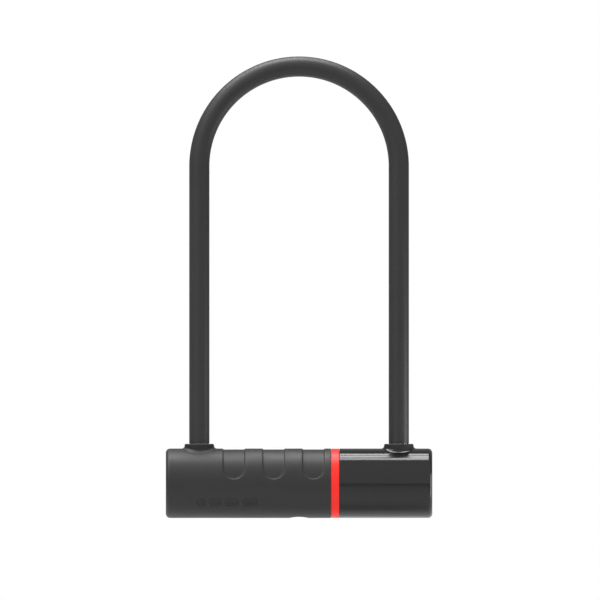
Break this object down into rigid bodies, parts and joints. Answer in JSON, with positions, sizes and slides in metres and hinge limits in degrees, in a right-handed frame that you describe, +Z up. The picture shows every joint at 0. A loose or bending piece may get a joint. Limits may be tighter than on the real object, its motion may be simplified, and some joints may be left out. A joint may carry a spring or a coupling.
{
  "type": "u lock",
  "caption": "Bicycle U lock: a coated steel shackle with two straight legs, held at both feet by bolts inside a round crossbar with a keyhole underneath.",
  "frame": {"origin": "middle of the crossbar's length, on its axis", "axes": "+X along the crossbar from the matte end to the gloss end, +Z up the legs towards the bend, -Y towards the side with the finger recesses in view; the keyhole faces -Z"},
  "size_m": [0.171, 0.0446, 0.2962],
  "materials": {
    "shackle_steel": "satin",
    "shackle_vinyl": "satin",
    "cover_matte": "matte",
    "cover_gloss": "gloss",
    "accent_red": "satin",
    "collar_rubber": "matte",
    "tube_steel": "satin",
    "plug_steel": "phosphated",
    "guide_steel": "cast",
    "carrier_zinc": "die cast",
    "pin_steel": "plated",
    "cylinder_brass": "satin",
    "face_steel": "satin",
    "disc_brass": "satin",
    "bolt_steel": "ground",
    "seal_rubber": "matte"
  },
  "bodies": {
    "crossbar": {"left_cover": "cover_matte", "right_cover": "cover_gloss", "accent_ring": "accent_red", "left_collar": "collar_rubber", "right_collar": "collar_rubber", "crossbar_tube": "tube_steel", "left_end_plug": "plug_steel", "right_end_plug": "plug_steel", "left_foot_guide": "guide_steel", "right_foot_guide": "guide_steel", "left_roll_pins": "pin_steel", "right_roll_pins": "pin_steel", "mechanism_carrier": "carrier_zinc", "carrier_lid": "carrier_zinc", "carrier_screws": "pin_steel", "cylinder_shell": "cylinder_brass", "cylinder_pins": "pin_steel", "cylinder_seal": "seal_rubber"},
    "shackle": {"shackle_bar": "shackle_steel", "left_foot": "shackle_steel", "right_foot": "shackle_steel", "shackle_coat": "shackle_vinyl"},
    "lock_plug": {"plug_face": "face_steel", "plug_core": "cylinder_brass", "core_clip": "pin_steel", "tension_washer": "pin_steel", "disc_spacers": "disc_brass", "disc_1": "disc_brass", "disc_2": "disc_brass", "disc_3": "disc_brass", "disc_4": "disc_brass", "disc_5": "disc_brass", "disc_6": "disc_brass", "disc_7": "disc_brass", "sidebar": "pin_steel", "drive_cam": "plug_steel", "crank_pins": "pin_steel"},
    "bolt_left": {"left_bolt": "bolt_steel"},
    "bolt_right": {"right_bolt": "bolt_steel"}
  },
  "joints": [
    {"name": "shackle_lift", "type": "slide", "parent": "crossbar", "child": "shackle", "axis": [0, 0, 1], "range_m": [0, 0.06]},
    {"name": "plug_turn", "type": "hinge", "parent": "crossbar", "child": "lock_plug", "pos_m": [0, 0, 0], "axis": [0, 0, 1], "range_deg": [0, 90]},
    {"name": "bolt_left_slide", "type": "slide", "parent": "crossbar", "child": "bolt_left", "axis": [-1, 0, 0], "range_m": [0, 0.00707]},
    {"name": "bolt_right_slide", "type": "slide", "parent": "crossbar", "child": "bolt_right", "axis": [1, 0, 0], "range_m": [0, 0.0071]}
  ],
  "couplings": [
    {"joint": "plug_turn", "follows": "bolt_left_slide", "rad_per_m": 222.14},
    {"joint": "bolt_right_slide", "follows": "bolt_left_slide", "ratio": 1}
  ]
}
